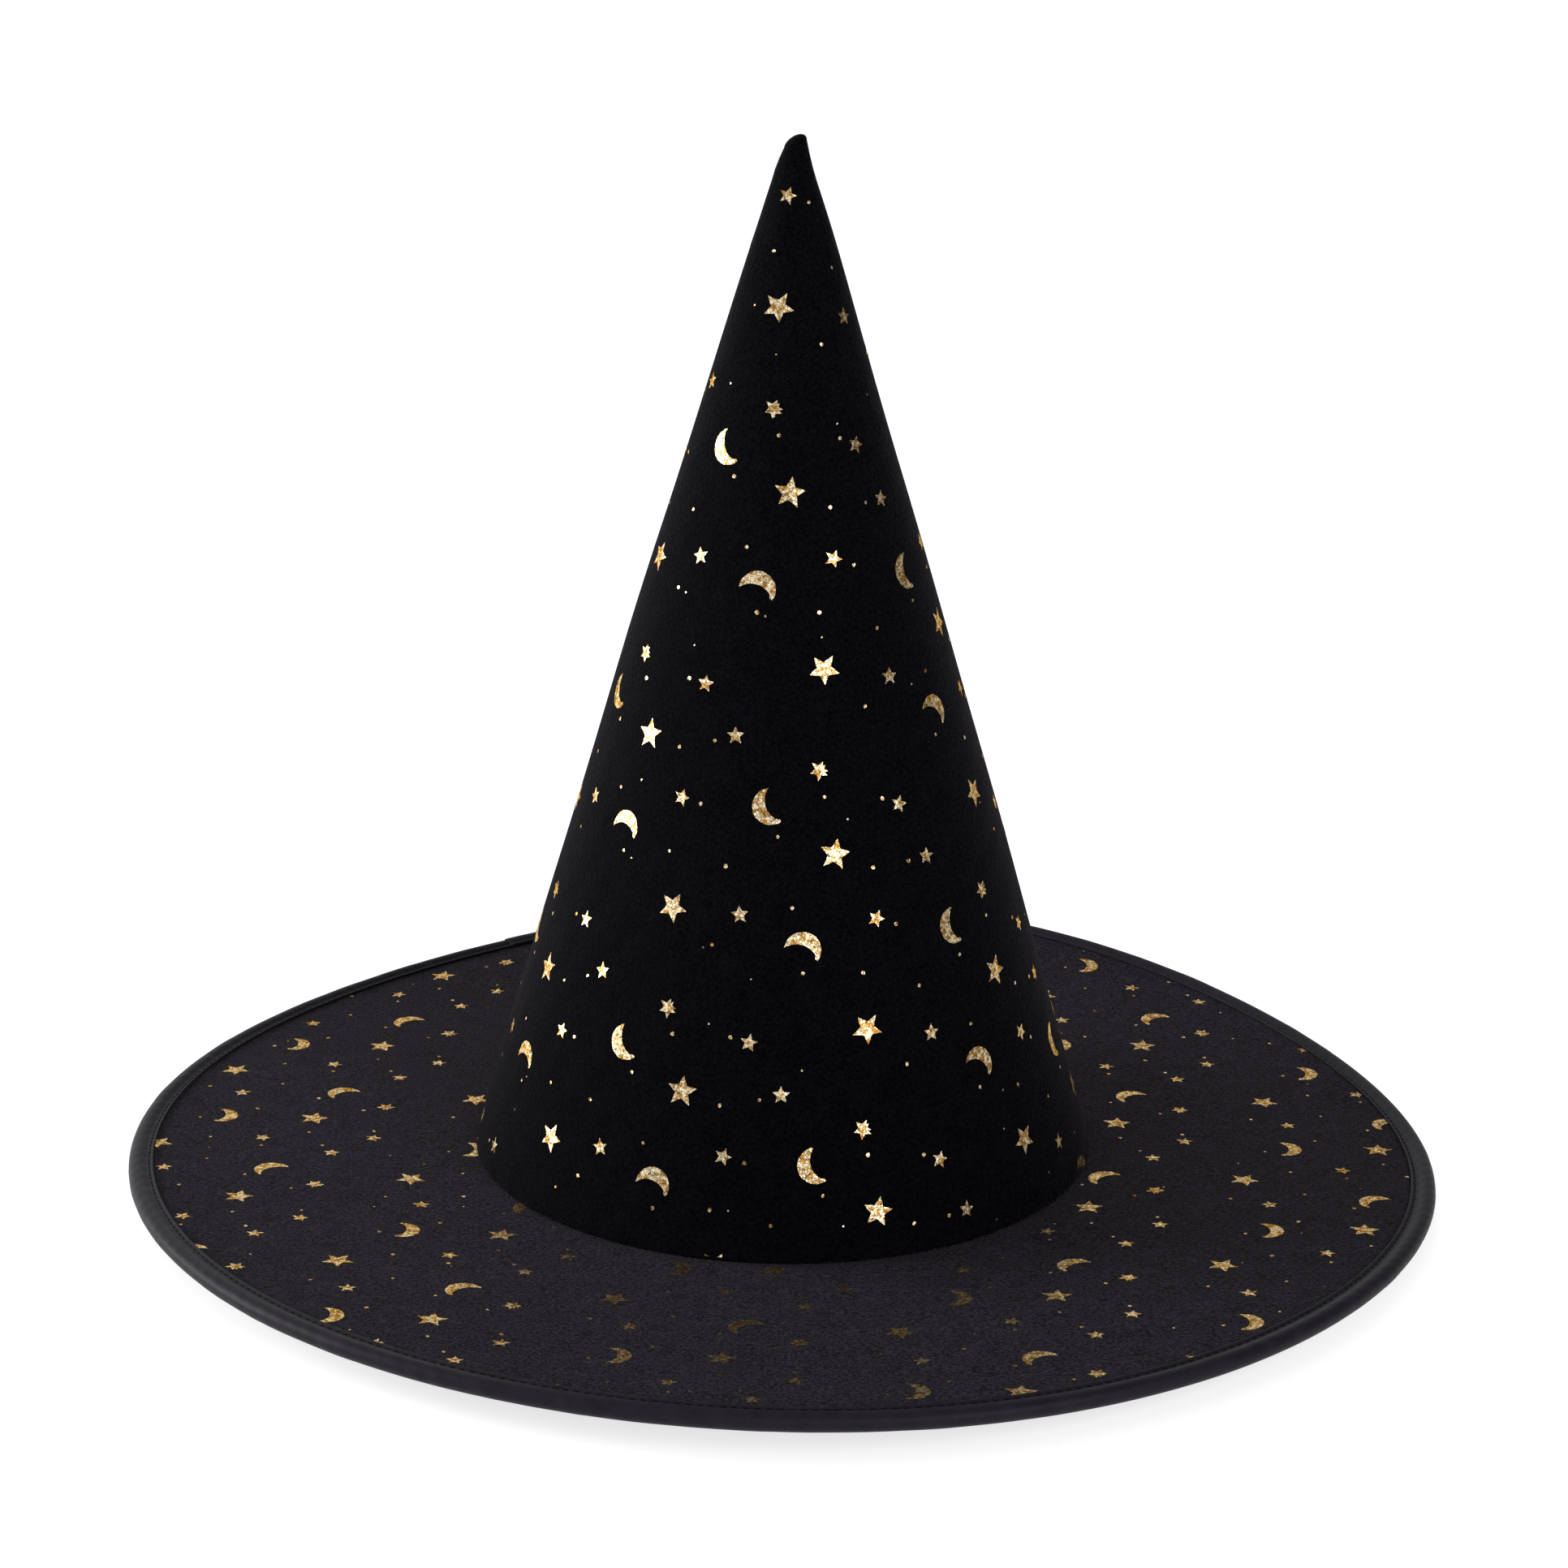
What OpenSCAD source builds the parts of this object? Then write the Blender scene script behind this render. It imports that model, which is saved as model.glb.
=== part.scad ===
// Pointed costume hat: a sewn cloth cone standing on a round, wired and bound brim.
// The hat stands on z = 0 and its brim is centred on the origin. +Y is the wearer's back.

/* [Brim] */
// Diameter of the brim over its binding
brim_d = 400; // [340:1:500]
// Average height of the brim's edge above its level middle
brim_lift = 4.5; // [3.5:0.1:12]
// How far the front and back of the edge rise above its sides, half the difference
brim_saddle = 3.1; // [0:0.1:6]
// Part of the same rise that is turned towards the diagonals
brim_saddle_skew = 1.4; // [-3:0.1:3]
// How far the right of the edge tips below the left, half the difference
brim_side_tip = 0.9; // [-2:0.1:2]
// How far the back of the edge tips below the front, half the difference
brim_back_tip = 1.7; // [-3:0.1:3]
// Three-lobed wave of the edge, with a lobe at the back
brim_back_wave = 1.9; // [-3:0.1:3]
// Part of the same wave that has a lobe at the left
brim_side_wave = -1; // [-2:0.1:2]
// Four-lobed wave of the edge along the axes
brim_corner_wave = 0.4; // [-1:0.1:1]
// Four-lobed wave of the edge along the diagonals
brim_corner_skew = -0.7; // [-1:0.1:1]
// Thickness of the printed pile cloth
velvet_t = 1; // [0.6:0.1:1.6]
// Thickness of the board that stiffens the brim
stiffener_t = 1.2; // [0.8:0.1:2]
// Thickness of the cloth under the brim
under_cover_t = 0.6; // [0.4:0.1:1]

/* [Brim edge] */
// Width of the binding tape over the top of the brim
binding_w = 7.4; // [6.6:0.1:12]
// Thickness of the binding tape
binding_t = 0.45; // [0.3:0.05:0.6]
// Width of the rounded edge roll inside the tape
binding_roll_w = 5.4; // [5:0.1:5.8]
// Height of the rounded edge roll
binding_roll_h = 5; // [4.8:0.1:8]
// Diameter of the wire hoop in the edge
wire_d = 2.4; // [1.6:0.1:3]
// Gap between the two ends of the wire
wire_end_gap = 2; // [1:0.5:4]
// Length of the crimped ferrule that joins the wire
ferrule_l = 18; // [12:1:24]
// Wall of the ferrule
ferrule_wall = 0.3; // [0.2:0.05:0.4]
// Clearance of the wire in the ferrule, which also takes up the hoop's curve
ferrule_clearance = 0.25; // [0.2:0.05:0.3]
// Direction of the binding's lap and of the wire's joint, from +X towards +Y
lap_angle = 118; // [100:1:140]
// Length over which the binding's end laps over its start
lap_l = 14; // [8:1:30]
// Diameter of the sewing thread
thread_d = 0.5; // [0.3:0.05:0.6]
// Distance of the topstitching from the binding's inner edge
stitch_inset = 1; // [0.6:0.1:1.4]

/* [Crown] */
// Height of the crown's point above the brim
crown_h = 309.5; // [240:0.5:380]
// How far the crown's side bows out from a straight line, halfway up
crown_bulge = 1; // [0:0.2:3]
// Width of the point before it is rounded
tip_w = 5; // [4:0.2:8]
// Distance of the crown's axis behind the brim's centre
crown_back = 6; // [0:0.5:12]
// Thickness of the stiff sheet inside the crown
interlining_t = 0.8; // [0.4:0.1:1.4]
// Width of each turned edge of the crown's back seam
seam_allowance_w = 10; // [6:1:15]
// Depth of the wad of cloth that fills the point
tip_wad_h = 24; // [15:1:40]
// Distance from one back-seam stitch to the next
stitch_pitch = 4; // [3:0.5:8]
// Length of one back-seam stitch
stitch_l = 2.8; // [2:0.1:2.9]

/* [Head opening] */
// Diameter of the head opening inside the sweatband
opening_d = 180; // [150:1:220]
// How far the sweatband's upright foot stands in from the leaning cloth behind it
opening_step = 1.5; // [1:0.1:2.5]
// Thickness of the sweatband tape
sweatband_t = 0.9; // [0.5:0.1:1.4]
// Height of the sweatband above the brim's top
sweatband_h = 26; // [18:1:40]
// How far the sweatband reaches below the brim
sweatband_drop = 0.4; // [0:0.1:1]
// Length of the sweatband's lap at the back
sweatband_lap_l = 22; // [10:1:40]
// Height to which the brim's clipped inner edge is turned up inside the crown
tab_h = 12; // [8:1:14]
// Number of clipped tabs
tab_count = 24; // [12:1:36]
// Width of the cut between two tabs
tab_cut_w = 3; // [1:0.5:5]

/* [Hidden] */

// Colours of the cloths, the wire and the thread
velvet_black = "#1d1b21";
brim_black = "#2b292f";
tape_black = "#2f2d33";
board_grey = "#8d8a84";
lining_white = "#d8d4c8";
steel = "#a9adb2";
thread_black = "#101014";

// Clearance between plies of cloth
ply_gap = 0.1;
// Length by which one shape passes another that it cuts
overcut = 1;
// Equal steps round the brim, and sides of a swept wire and of a swept thread
ring_steps = 72;
lap_steps = 4;
wire_sides = 8;
thread_sides = 6;
// Smoothness of turned shapes, and steps over the rounded point
round_fn = 180;
point_steps = 5;
// Greatest height of one straight piece of the crown's bowed side
side_step = 60;
// The roll is this much higher than the ferrule needs at its top, to clear it at its shoulders too
roll_room = 1.08;

// The brim's plies, as heights above or below its middle surface
brim_r = brim_d / 2;
brim_t = velvet_t + stiffener_t + under_cover_t + 2 * ply_gap;
top_v = brim_t / 2;
velvet_v = top_v - velvet_t;
board_top_v = velvet_v - ply_gap;
board_v = board_top_v - stiffener_t;
cover_top_v = board_v - ply_gap;

// The binding lies over the plies and rolls round the wire
lip_v = top_v + ply_gap + binding_t;
wire_room_r = wire_d / 2 + ferrule_clearance + ferrule_wall;
roll_v = max(binding_roll_h / 2, lip_v, roll_room * (wire_room_r + ply_gap + binding_t));
wire_path_r = brim_r - binding_t - ply_gap - wire_room_r;
stack_r = wire_path_r - wire_room_r - ply_gap;
stitch_r = brim_r - binding_w + stitch_inset;

// The lowest dip of the edge, or the sweatband, sets how high the brim stands
edge_dip = min([for (k = [0:ring_steps - 1]) edge_rise(k * 360 / ring_steps)]);
rest_z = max(roll_v - edge_dip, top_v + sweatband_drop);
brim_top_z = rest_z + top_v;

// Layers of the crown at its foot, each as a level distance in from its outer face
lining_out = velvet_t + ply_gap;
lining_in = lining_out + interlining_t;
fold_out = lining_in + ply_gap;
fold_in = fold_out + velvet_t;
band_out = fold_in + ply_gap;
band_in = band_out + sweatband_t;
lap_out = band_in + ply_gap;
lap_in = lap_out + sweatband_t;

// The crown is as wide at its foot as the opening and everything round it
crown_d = opening_d + 2 * (opening_step + band_in);
tip_r = tip_w / 2;
// Its side leans in by this much for each millimetre of height
crown_slope = (crown_d / 2 - tip_r) / crown_h;
crown_tilt = atan(crown_slope);
// The brim is level under the crown and leaves it at the crown's foot
brim_bend_r = crown_d / 2;
// The wad fills the point, and the turned edges of the back seam end below it
wad_top_z = crown_z(tip_r, fold_out);
wad_foot_z = wad_top_z - tip_wad_h;
fold_top_z = min(crown_z(seam_allowance_w, fold_in), wad_foot_z - ply_gap);
// The cloth of the crown starts above the thread that joins it to the brim
crown_foot = thread_d + ply_gap;
// Radius of the hole in the brim's plies, at the inner face of the turned tabs
brim_hole_r = crown_r(0, fold_in);
// The sweatband is upright up to here, and is sewn to the tabs just above
band_foot_z = crown_z(opening_d / 2, band_in);
band_thread_z = band_foot_z + 2 * thread_d;

// Height of the edge above the brim's level middle, by direction
function edge_rise(a) = brim_lift - brim_side_tip * cos(a) - brim_back_tip * sin(a)
    - brim_saddle * cos(2 * a) + brim_saddle_skew * sin(2 * a)
    + brim_side_wave * cos(3 * a) - brim_back_wave * sin(3 * a)
    + brim_corner_wave * cos(4 * a) + brim_corner_skew * sin(4 * a);

// How far a radius lies from the level middle, 0, to the brim's edge, 1
function outward(r) = max(0, r - brim_bend_r) / (brim_r - brim_bend_r);

// Point of the brim for [radius, height above the middle surface] and a direction.
// Its circles are centred on the crown's axis inside and on the brim's centre at the edge.
function brim_point(p, a) = [
    p[0] * cos(a),
    p[0] * sin(a) + crown_back * (1 - outward(p[0])),
    rest_z + edge_rise(a) * outward(p[0]) + p[1]];

// Radius of the crown at a height above the brim, at a depth inside its outer face
function crown_r(z, depth) = crown_d / 2 - crown_slope * z - depth
    + 4 * crown_bulge * z * (crown_h - z) / (crown_h * crown_h);

// Height above the brim at which a layer narrows to a radius, the root of the same parabola
function crown_z(r, depth) = let (
        narrowing = crown_d / 2 - depth - r,
        bend = 4 * crown_bulge / crown_h,
        foot_slope = crown_slope - bend)
    2 * narrowing / (foot_slope + sqrt(foot_slope * foot_slope + 4 * bend / crown_h * narrowing));

// Points up the side of one layer, in straight pieces of equal height
function crown_side(z0, z1, depth) = let (n = ceil((z1 - z0) / side_step))
    [for (k = [0:n]) let (z = z0 + (z1 - z0) * k / n) [crown_r(z, depth), z]];

// Regular outline with n sides round [r, v]
function round_outline(r, v, d, n) = [for (k = [0:n - 1])
    [r + d / 2 * cos(k * 360 / n), v + d / 2 * sin(k * 360 / n)]];

// Faces between copy i and copy j of an outline with m points
function strip(i, j, m) = [for (k = [0:m - 1]) each [
    [i * m + k, j * m + k, j * m + (k + 1) % m],
    [i * m + k, j * m + (k + 1) % m, i * m + (k + 1) % m]]];

// Outline of a folded tape, out along its upper side and back along its lower side.
// grow moves it outwards, so a negative value gives the tape's inner side.
function tape_upper(grow) = [
    [brim_r - binding_w, lip_v + grow],
    [brim_r - binding_roll_w, lip_v + grow],
    [brim_r - 0.75 * binding_roll_w, (lip_v + roll_v) / 2 + grow],
    [brim_r - 0.5 * binding_roll_w, roll_v + grow],
    [brim_r - 0.2 * binding_roll_w + grow, 0.8 * roll_v + grow],
    [brim_r - 0.05 * binding_roll_w + grow, 0.4 * roll_v]];
function tape_path(grow) = let (upper = tape_upper(grow), n = len(upper)) concat(
    upper,
    [[brim_r + grow, 0]],
    [for (k = [n - 1:-1:0]) [upper[k][0], -upper[k][1]]]);
function tape_section(grow) = let (outer = tape_path(grow), inner = tape_path(grow - binding_t))
    concat(outer, [for (k = [len(inner) - 1:-1:0]) inner[k]]);

// Sweeps an outline of [radius, height] points right round the brim
module brim_ring(outline) {
    m = len(outline);
    polyhedron(
        points = [for (k = [0:ring_steps - 1]) for (p = outline)
            brim_point(p, k * 360 / ring_steps)],
        faces = [for (k = [0:ring_steps - 1]) each strip(k, (k + 1) % ring_steps, m)]);
}

// Sweeps an outline part of the way round, from a0 to a1. Its ends are closed by rungs
// from the outline's first half to its second half, so the outline may be a folded strip.
module brim_arc(outline, a0, a1, steps) {
    m = len(outline);
    start = [for (k = [0:m / 2 - 2]) [k, k + 1, m - 2 - k, m - 1 - k]];
    polyhedron(
        points = [for (k = [0:steps]) for (p = outline)
            brim_point(p, a0 + (a1 - a0) * k / steps)],
        faces = concat(
            start,
            [for (k = [0:steps - 1]) each strip(k, k + 1, m)],
            [for (q = start) [for (k = [3:-1:0]) steps * m + q[k]]]));
}

// One flat ply of the brim, between two heights off the middle surface
module brim_ply(r0, r1, v0, v1) {
    brim_ring([[r0, v1], [brim_bend_r, v1], [r1, v1], [r1, v0], [brim_bend_r, v0], [r0, v0]]);
}

// One thread round the brim at a radius and a height off the middle surface
module brim_thread(r, v) {
    brim_ring([for (k = [thread_sides - 1:-1:0]) round_outline(r, v, thread_d, thread_sides)[k]]);
}

// Stands its children on the crown's axis with the brim's top as their zero height
module on_brim() {
    translate([0, crown_back, brim_top_z]) children();
}

// One layer of the crown between two heights and two depths
module crown_ring(z0, z1, depth_out, depth_in) {
    outer = crown_side(z0, z1, depth_out);
    inner = crown_side(z0, z1, depth_in);
    rotate_extrude($fn = round_fn)
        polygon(concat(outer, [for (k = [len(inner) - 1:-1:0]) inner[k]]));
}

module crown_velvet() {
    shoulder_z = crown_h - tip_r;
    outer = crown_side(crown_foot, shoulder_z, 0);
    inner = crown_side(crown_foot, crown_z(tip_r, velvet_t), velvet_t);
    point = [for (k = [1:point_steps]) let (a = k * 90 / point_steps)
        [crown_r(shoulder_z, 0) * cos(a), shoulder_z + tip_r * sin(a)]];
    color(velvet_black) on_brim() rotate_extrude($fn = round_fn)
        polygon(concat(outer, point, [[0, crown_z(tip_r, velvet_t)]],
                       [for (k = [len(inner) - 1:-1:0]) inner[k]]));
}

module crown_interlining() {
    color(lining_white) on_brim()
        crown_ring(crown_foot, crown_z(tip_r, lining_in), lining_out, lining_in);
}

// The two turned edges of the back seam, pressed apart, with the seam between them
module crown_seam_allowances() {
    z0 = max(tab_h, sweatband_h) + ply_gap;
    z1 = fold_top_z;
    depth = crown_r(z0, fold_out) + overcut;
    color(velvet_black) on_brim() intersection() {
        crown_ring(z0, z1, fold_out, fold_in);
        union() for (side = [-1, 1])
            translate([side * (thread_d + seam_allowance_w / 2) - seam_allowance_w / 2, 0, z0])
                cube([seam_allowance_w, depth, z1 - z0]);
    }
}

// Stitches down the back seam, in the gap between the turned edges
module crown_seam_stitches() {
    z0 = max(tab_h, sweatband_h) + stitch_pitch;
    z1 = fold_top_z - stitch_pitch;
    color(thread_black) on_brim() for (z = [z0:stitch_pitch:z1])
        translate([0, crown_r(z, fold_out), z]) rotate([crown_tilt, 0, 0])
            translate([-thread_d / 2, -thread_d, 0]) cube([thread_d, thread_d, stitch_l]);
}

module tip_wad() {
    color(velvet_black) on_brim() translate([0, 0, wad_foot_z])
        cylinder(h = tip_wad_h, r1 = crown_r(wad_foot_z, fold_out), r2 = crown_r(wad_top_z, fold_out),
                 $fn = round_fn);
}

module brim_top_velvet() {
    color(brim_black) brim_ply(brim_hole_r, stack_r, velvet_v, top_v);
}

module brim_stiffener() {
    color(board_grey) brim_ply(brim_hole_r, stack_r, board_v, board_top_v);
}

module brim_under_cover() {
    color(brim_black) brim_ply(brim_hole_r, stack_r, -top_v, cover_top_v);
}

// The clipped inner edge of the brim's top cloth, turned up inside the crown
module brim_turned_tabs() {
    color(brim_black) on_brim() difference() {
        crown_ring(0, tab_h, fold_out, fold_in);
        for (k = [0:tab_count - 1]) rotate([0, 0, (k + 0.5) * 360 / tab_count])
            translate([0, -tab_cut_w / 2, ply_gap]) cube([crown_d, tab_cut_w, tab_h]);
    }
}

module brim_wire() {
    half_gap = atan(wire_end_gap / 2 / wire_path_r);
    outline = round_outline(wire_path_r, 0, wire_d, wire_sides);
    color(steel) brim_arc([for (k = [wire_sides - 1:-1:0]) outline[k]],
                          lap_angle + half_gap, lap_angle + 360 - half_gap, ring_steps);
}

// Straight sleeve along the hoop, tilted to the slope of the edge where it sits
module wire_ferrule() {
    half_turn = atan(ferrule_l / 2 / wire_path_r);
    start = brim_point([wire_path_r, 0], lap_angle - half_turn);
    finish = brim_point([wire_path_r, 0], lap_angle + half_turn);
    climb = atan((finish[2] - start[2]) / ferrule_l);
    bore_r = wire_d / 2 + ferrule_clearance;
    color(steel) translate((start + finish) / 2) rotate([0, 90 - climb, lap_angle + 90])
        difference() {
            cylinder(h = ferrule_l, r = bore_r + ferrule_wall, center = true, $fn = round_fn);
            cylinder(h = ferrule_l + overcut, r = bore_r, center = true, $fn = round_fn);
        }
}

module edge_binding() {
    color(tape_black) brim_ring(tape_section(0));
}

// The tape's turned-under end, a second layer over the first
module binding_lap() {
    half_lap = atan(lap_l / 2 / brim_r);
    color(tape_black) brim_arc(tape_section(binding_t + ply_gap),
                               lap_angle - half_lap, lap_angle + half_lap, lap_steps);
}

module binding_topstitch() {
    color(thread_black) brim_thread(stitch_r, lip_v + thread_d / 2);
}

module binding_understitch() {
    color(thread_black) brim_thread(stitch_r, -lip_v - thread_d / 2);
}

// The seam thread between the crown's foot and the brim
module brim_seam_thread() {
    color(thread_black) on_brim() translate([0, 0, thread_d / 2])
        rotate_extrude($fn = round_fn)
            translate([crown_r(0, lining_out), 0]) circle(d = thread_d, $fn = round_fn / 6);
}

// Upright round the opening, then leaning in against the crown
module sweatband() {
    r_in = opening_d / 2;
    r_out = r_in + sweatband_t;
    foot = -brim_t - sweatband_drop;
    color(thread_black) on_brim() rotate_extrude($fn = round_fn)
        polygon([[r_in, foot], [r_out, foot], [r_out, band_foot_z],
                 [crown_r(sweatband_h, band_out), sweatband_h],
                 [crown_r(sweatband_h, band_in), sweatband_h], [r_in, band_foot_z]]);
}

module sweatband_lap() {
    color(thread_black) on_brim() intersection() {
        crown_ring(band_foot_z, sweatband_h, lap_out, lap_in);
        translate([-sweatband_lap_l / 2, 0, band_foot_z])
            cube([sweatband_lap_l, crown_d, sweatband_h - band_foot_z]);
    }
}

// Thread that holds the sweatband to the tabs, on the band's inner face
module sweatband_thread() {
    color(thread_black) on_brim() difference() {
        translate([0, 0, band_thread_z]) rotate_extrude($fn = round_fn)
            translate([crown_r(band_thread_z, band_in) - thread_d / 2, 0])
                circle(d = thread_d - ply_gap, $fn = round_fn / 6);
        translate([-sweatband_lap_l / 2 - ply_gap, 0, 0])
            cube([sweatband_lap_l + 2 * ply_gap, crown_d, 2 * band_thread_z]);
    }
}

crown_velvet();
crown_interlining();
crown_seam_allowances();
crown_seam_stitches();
tip_wad();
brim_top_velvet();
brim_turned_tabs();
brim_stiffener();
brim_under_cover();
brim_wire();
wire_ferrule();
edge_binding();
binding_lap();
binding_topstitch();
binding_understitch();
brim_seam_thread();
sweatband();
sweatband_lap();
sweatband_thread();
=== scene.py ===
# %% [markdown]
# # A pointed costume hat in printed velveteen
# The hat is a sewn soft good: a cone of black pile cloth printed with gold foil, on a round brim made of
# cloth over a stiff board, with a wire and a bound edge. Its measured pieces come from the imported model, and
# this script gives them cloth, thread and foil. Shapes are worked out in millimetres and stored in metres.

# %% The frame
import math
import random

import bmesh
import bpy
from mathutils import Matrix, Vector, noise


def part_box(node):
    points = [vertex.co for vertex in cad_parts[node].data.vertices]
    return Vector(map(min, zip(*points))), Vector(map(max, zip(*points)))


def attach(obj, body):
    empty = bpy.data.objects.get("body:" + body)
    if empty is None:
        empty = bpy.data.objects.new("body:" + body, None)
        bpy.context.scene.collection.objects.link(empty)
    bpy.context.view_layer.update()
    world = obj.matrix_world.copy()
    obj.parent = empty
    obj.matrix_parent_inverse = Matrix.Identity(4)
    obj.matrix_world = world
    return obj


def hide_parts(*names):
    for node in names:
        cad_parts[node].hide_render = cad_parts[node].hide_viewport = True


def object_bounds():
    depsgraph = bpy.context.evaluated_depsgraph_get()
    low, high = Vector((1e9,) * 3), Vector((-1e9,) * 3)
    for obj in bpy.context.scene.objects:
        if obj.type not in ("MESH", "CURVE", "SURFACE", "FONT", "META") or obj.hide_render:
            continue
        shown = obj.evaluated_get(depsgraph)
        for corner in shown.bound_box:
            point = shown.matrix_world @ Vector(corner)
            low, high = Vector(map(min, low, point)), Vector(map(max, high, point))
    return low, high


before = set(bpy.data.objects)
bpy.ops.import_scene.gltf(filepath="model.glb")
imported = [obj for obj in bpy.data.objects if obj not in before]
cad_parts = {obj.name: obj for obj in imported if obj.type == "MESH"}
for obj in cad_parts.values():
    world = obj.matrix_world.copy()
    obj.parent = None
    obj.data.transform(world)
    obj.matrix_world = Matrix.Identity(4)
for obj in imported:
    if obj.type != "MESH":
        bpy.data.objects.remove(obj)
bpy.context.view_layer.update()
MM = 0.001

# %% [markdown]
# ## Sizes
# The frame gives the brim's radius, the height of the brim's top and the point. The thickness of each ply
# and the waves of the brim's edge repeat the model's own sizes, because a bent edge can't be read from a box.

# %% Sizes from the frame, and the plies
def box_mm(node):
    return [[c / MM for c in corner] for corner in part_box(node)]


BRIM_R = (box_mm("edge_binding")[1][0] - box_mm("edge_binding")[0][0]) / 2
BRIM_TOP = box_mm("brim_seam_thread")[0][2]
CROWN_H = box_mm("crown_velvet")[1][2] - BRIM_TOP
CROWN_BACK = (box_mm("crown_velvet")[1][1] + box_mm("crown_velvet")[0][1]) / 2
# The cone: its radius at the foot and at the point, and how far its side bows out halfway up
CROWN_R = 95.5
TIP_R = 2.5
CROWN_BULGE = 1.0
# The brim's plies: half their thickness, their inner and outer radius, the row of stitches and the felt's top
BRIM_HALF_T = 1.5
REST_Z = BRIM_TOP - BRIM_HALF_T
BRIM_HOLE_R = 92.5
STACK_R = 195.85
STITCH_R = 193.6
BOARD_TOP = 0.4
# Directions, from the hat's right: the lap of the binding, and the seam at the wearer's back
LAP_ANGLE = math.radians(118)
BACK_SEAM = math.radians(90)
# Depth of each crown layer behind the outer face of the cone, measured level
LINING_DEPTH = 1.1
LINING_BACK_DEPTH = 1.9
FOLD_DEPTH = 2.0
FOLD_BACK_DEPTH = 3.0
BAND_DEPTH = 3.1
LAP_DEPTH = 4.1
# The sweatband leans with the cone above this height over the brim's top, and is upright below it
BAND_FOOT_Z = 5.21
BAND_H = 26.0
print(f"brim radius {BRIM_R:.1f}, brim top {BRIM_TOP:.2f}, crown {CROWN_H:.1f} high, {CROWN_BACK:.1f} back")

# %% The curved surfaces of the brim and the crown
CROWN_SLOPE = (CROWN_R - TIP_R) / CROWN_H


def smoothstep(low, high, value):
    t = min(1.0, max(0.0, (value - low) / (high - low)))
    return t * t * (3 - 2 * t)


def edge_rise(a):
    """Height of the brim's edge above its level middle, by direction."""
    return (4.5 - 0.9 * math.cos(a) - 1.7 * math.sin(a) - 3.1 * math.cos(2 * a)
            + 1.4 * math.sin(2 * a) - math.cos(3 * a) - 1.9 * math.sin(3 * a)
            + 0.4 * math.cos(4 * a) - 0.7 * math.sin(4 * a))


def outward(r):
    return max(0.0, r - CROWN_R) / (BRIM_R - CROWN_R)


def ripple(x, y, r):
    """Slight unevenness of handled cloth, gone at the crown's foot and at the wired edge."""
    fade = smoothstep(CROWN_R + 4, CROWN_R + 25, r) * (1 - smoothstep(178, 190, r))
    return fade * (0.45 * noise.noise(Vector((x / 48, y / 48, 3.0)))
                   + 0.12 * noise.noise(Vector((x / 15, y / 15, 9.0))))


def brim_place(x, y, v):
    """Where a point of the flat brim comes to lie, v above the middle of its plies."""
    r = math.hypot(x, y)
    out = outward(r)
    return Vector((x, y + CROWN_BACK * (1 - out),
                   REST_Z + edge_rise(math.atan2(y, x)) * out + v + ripple(x, y, r)))


def crown_r(z, depth=0.0):
    return CROWN_R - CROWN_SLOPE * z + 4 * CROWN_BULGE * z * (CROWN_H - z) / CROWN_H ** 2 - depth


def crown_z(r, depth=0.0):
    """Height at which a layer has narrowed to a radius, the root of the same parabola."""
    narrowing = CROWN_R - depth - r
    bend = 4 * CROWN_BULGE / CROWN_H
    foot_slope = CROWN_SLOPE - bend
    return 2 * narrowing / (foot_slope + math.sqrt(foot_slope ** 2 + 4 * bend / CROWN_H * narrowing))


def crown_sway(z, a):
    """Unevenness of the stiffened cone, gone at its foot and at its point."""
    fade = smoothstep(14, 60, z) * (1 - smoothstep(CROWN_H - 30, CROWN_H - 8, z))
    spot = Vector((math.cos(a) * 1.3, math.sin(a) * 1.3, z / 70))
    return fade * 0.6 * noise.noise(spot)


# The folded seam end inside the point pushes it over a little, and slants its top
POINT_LEAN_H = 9.0
POINT_LEAN = 0.35
POINT_SLANT = 0.4


def crown_place(r, a, z):
    """Where a point r from the crown's axis and z above the brim comes to lie."""
    sway_r = r + crown_sway(z, a)
    x = sway_r * math.cos(a)
    nip = smoothstep(CROWN_H - POINT_LEAN_H, CROWN_H, z)
    height = BRIM_TOP + z + POINT_SLANT * nip * x
    return Vector((x + POINT_LEAN * nip, CROWN_BACK + sway_r * math.sin(a), height))


print(f"crown leans in {math.degrees(math.atan(CROWN_SLOPE)):.1f} degrees")

# %% [markdown]
# ## Materials
# A black pile cloth is hard to light: its pile swallows almost all the light that falls straight on it, and
# glows faintly at a glancing angle. That is a near-black base with hardly any gloss, and the shader's sheen.
# Each pattern is drawn at its real size, worked out from millimetres, on the cloth's own flat layout.

# %% Helpers for materials
def srgb(code):
    """A colour such as #1a2b3c as the linear numbers that shaders use."""
    channels = [int(code[k:k + 2], 16) / 255 for k in (1, 3, 5)]
    return [c / 12.92 if c <= 0.04045 else ((c + 0.055) / 1.055) ** 2.4 for c in channels] + [1.0]


def per_mm(size):
    """The texture scale that makes one repeat this many millimetres."""
    return 1 / (size * MM)


def add_node(tree, kind, inputs=None, **settings):
    """Adds a node with its settings; an input is a number, a colour or another node's output."""
    node = tree.nodes.new(kind)
    for name, value in settings.items():
        setattr(node, name, value)
    for name, value in (inputs or {}).items():
        if isinstance(value, bpy.types.NodeSocket):
            tree.links.new(value, node.inputs[name])
        else:
            node.inputs[name].default_value = value
    return node


def new_material(name):
    material = bpy.data.materials.new(name)
    material.use_nodes = True
    material.node_tree.nodes.clear()
    return material, material.node_tree


def show(tree, shader):
    add_node(tree, "ShaderNodeOutputMaterial", {"Surface": shader})


MIX_FACTOR, MIX_A, MIX_B, MIX_OUT = 0, 6, 7, 2


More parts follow.
